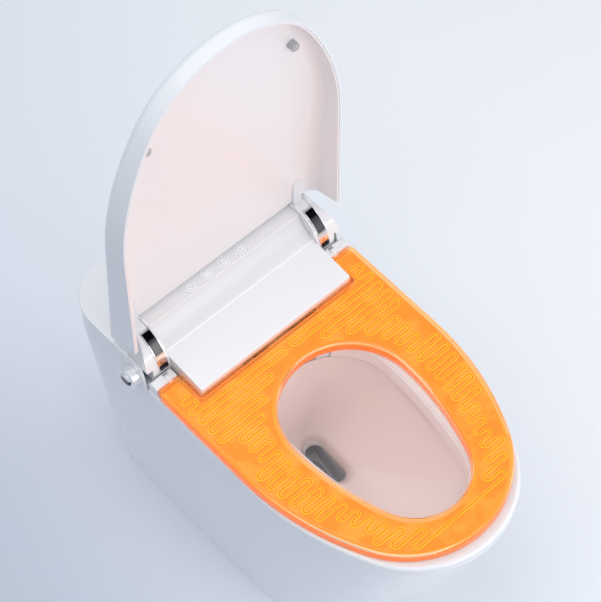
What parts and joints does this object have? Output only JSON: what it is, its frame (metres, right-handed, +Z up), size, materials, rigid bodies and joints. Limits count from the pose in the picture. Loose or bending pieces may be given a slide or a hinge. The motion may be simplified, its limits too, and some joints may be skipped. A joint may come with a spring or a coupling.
{
  "type": "smart toilet",
  "caption": "One-piece skirted ceramic toilet with an open lid, a translucent heated seat, a raised rear unit with touch keys, and a push-and-turn side knob.",
  "frame": {"origin": "centre of the waste outlet in the floor plane", "axes": "+Z up, -Y towards the front of the bowl, X across the seat"},
  "size_m": [0.4052, 0.702, 1.0184],
  "materials": {
    "ceramic": "white vitreous glaze",
    "seal_rubber": "soft wax and rubber",
    "white_plastic": "white gloss moulding",
    "lid_plastic": "white gloss moulding",
    "grey_plastic": "grey moulding",
    "dark_plastic": "black moulding",
    "key_plastic": "pale touch key",
    "chrome_trim": "polished plating",
    "chrome_button": "polished plating",
    "bumper_rubber": "pale grey rubber",
    "seat_clear": "translucent, lit orange from inside",
    "seat_base": "pale moulding, lit orange",
    "foil": "heat spreading foil",
    "wire": "insulated heating wire",
    "steel": "stainless steel",
    "heater_plastic": "heat resistant moulding",
    "board": "green circuit board",
    "tank_plastic": "milky moulding",
    "brass_fitting": "machined brass"
  },
  "bodies": {
    "toilet": {"ceramic_body": "ceramic", "outlet_seal": "seal_rubber", "chassis": "grey_plastic", "rear_deck": "white_plastic", "centre_cover": "white_plastic", "touch_keys": "key_plastic", "hinge_housing_left": "white_plastic", "hinge_housing_right": "white_plastic", "side_panel_left": "white_plastic", "side_panel_right": "white_plastic", "hinge_trim_left": "chrome_trim", "hinge_trim_right": "chrome_trim", "seat_hinge_block_left": "white_plastic", "seat_hinge_block_right": "white_plastic", "lid_damper_left": "dark_plastic", "lid_damper_right": "dark_plastic", "seat_damper_left": "dark_plastic", "seat_damper_right": "dark_plastic", "knob_encoder": "dark_plastic", "nozzle_guide": "grey_plastic", "dryer_duct": "grey_plastic", "fan_case": "grey_plastic", "fan_motor": "steel", "water_heater": "heater_plastic", "deodoriser_cartridge": "grey_plastic", "control_board": "board", "flush_tank": "tank_plastic", "flush_pump": "dark_plastic", "solenoid_valve": "heater_plastic", "water_inlet": "brass_fitting", "power_gland": "dark_plastic"},
    "lid": {"lid_shell": "lid_plastic", "lid_liner": "lid_plastic", "lid_bumpers": "bumper_rubber", "lid_hinge_arm_left": "white_plastic", "lid_hinge_arm_right": "white_plastic"},
    "seat": {"seat_cover": "seat_clear", "seat_base": "seat_base", "heater_foil": "foil", "heating_wire": "wire", "seat_bumpers": "bumper_rubber", "seat_thermostat": "dark_plastic"},
    "knob": {"knob_ring": "chrome_trim"},
    "button": {"knob_button": "chrome_button"},
    "wand": {"nozzle_wand": "steel", "nozzle_tip": "white_plastic", "nozzle_shield": "white_plastic"},
    "flap": {"dryer_flap": "white_plastic"},
    "fan": {"fan_wheel": "dark_plastic"}
  },
  "joints": [
    {"name": "lid_hinge", "type": "hinge", "parent": "toilet", "child": "lid", "pos_m": [0, 0.1412, 0.4708], "axis": [1, 0, 0], "range_deg": [0, 90.73]},
    {"name": "seat_hinge", "type": "hinge", "parent": "toilet", "child": "seat", "pos_m": [0, 0.08, 0.418], "axis": [1, 0, 0], "range_deg": [-92, 0]},
    {"name": "knob_turn", "type": "hinge", "parent": "toilet", "child": "knob", "pos_m": [-0.19, 0.122, 0.413], "axis": [-1, 0, 0], "continuous": true},
    {"name": "button_push", "type": "slide", "parent": "knob", "child": "button", "axis": [1, 0, 0], "range_m": [0, 0.0025], "stiffness_N_per_m": 400, "springref_m": -0.002},
    {"name": "wand_slide", "type": "slide", "parent": "toilet", "child": "wand", "axis": [0, -0.9511, -0.309], "range_m": [0, 0.07]},
    {"name": "dryer_flap_hinge", "type": "hinge", "parent": "toilet", "child": "flap", "pos_m": [0.058, -0.00033, 0.39861], "axis": [-1, 0, 0], "range_deg": [0, 60], "stiffness_Nm_per_rad": 0.003, "springref_deg": -17.19},
    {"name": "fan_spin", "type": "hinge", "parent": "toilet", "child": "fan", "pos_m": [0.078, 0.126, 0.42], "axis": [0, 0, 1], "continuous": true}
  ]
}
